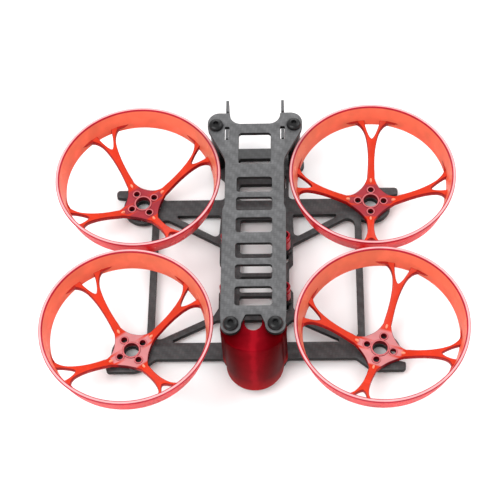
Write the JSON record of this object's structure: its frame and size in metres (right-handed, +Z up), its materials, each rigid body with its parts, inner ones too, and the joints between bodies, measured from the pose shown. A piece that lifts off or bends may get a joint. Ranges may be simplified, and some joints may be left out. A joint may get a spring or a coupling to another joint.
{
  "type": "drone frame",
  "caption": "Bare racing-drone frame: carbon plates on standoffs, arms with clear red propeller ducts on forked spokes, upright camera plates and a rounded tail guard.",
  "frame": {"origin": "on the ground below the middle of the motor axes; the lower screw heads stand on the ground", "axes": "+Y towards the front (camera end), +X to the right, +Z up"},
  "size_m": [0.14, 0.1153, 0.0295],
  "materials": {
    "carbon": "woven carbon plate, satin",
    "black_oxide": "blackened steel, semi-gloss",
    "red_anodised": "red anodised, glossy",
    "clear_red_plastic": "clear red, moulded, glossy",
    "dark_red_plastic": "deep red, translucent, glossy"
  },
  "bodies": {
    "frame": {"bottom_plate": "carbon", "bottom_screw_front_left": "black_oxide", "bottom_screw_front_right": "black_oxide", "bottom_screw_rear_left": "black_oxide", "bottom_screw_rear_right": "black_oxide", "camera_plate_left": "carbon", "camera_plate_right": "carbon", "stack_nut_front_left": "black_oxide", "stack_nut_front_right": "black_oxide", "stack_nut_rear_left": "black_oxide", "stack_nut_rear_right": "black_oxide", "stack_post_front_left": "red_anodised", "stack_post_front_right": "red_anodised", "stack_post_rear_left": "red_anodised", "stack_post_rear_right": "red_anodised", "stack_screw_front_left": "black_oxide", "stack_screw_front_right": "black_oxide", "stack_screw_rear_left": "black_oxide", "stack_screw_rear_right": "black_oxide", "standoff_front_left": "black_oxide", "standoff_front_right": "black_oxide", "standoff_rear_left": "black_oxide", "standoff_rear_right": "black_oxide", "tail_guard": "dark_red_plastic", "top_plate": "carbon", "top_screw_front_left": "black_oxide", "top_screw_front_right": "black_oxide", "top_screw_rear_left": "black_oxide", "top_screw_rear_right": "black_oxide"},
    "duct_front_left": {"duct_front_left": "clear_red_plastic"},
    "duct_front_right": {"duct_front_right": "clear_red_plastic"},
    "duct_rear_left": {"duct_rear_left": "clear_red_plastic"},
    "duct_rear_right": {"duct_rear_right": "clear_red_plastic"}
  },
  "joints": [
    {"name": "duct_turn_front_left", "type": "hinge", "parent": "frame", "child": "duct_front_left", "pos_m": [-0.0402, 0.02905, 0.005], "axis": [0, 0, 1], "continuous": true},
    {"name": "duct_turn_front_right", "type": "hinge", "parent": "frame", "child": "duct_front_right", "pos_m": [0.0402, 0.02905, 0.005], "axis": [0, 0, 1], "continuous": true},
    {"name": "duct_turn_rear_left", "type": "hinge", "parent": "frame", "child": "duct_rear_left", "pos_m": [-0.0415, -0.02905, 0.005], "axis": [0, 0, 1], "continuous": true},
    {"name": "duct_turn_rear_right", "type": "hinge", "parent": "frame", "child": "duct_rear_right", "pos_m": [0.0415, -0.02905, 0.005], "axis": [0, 0, 1], "continuous": true}
  ]
}
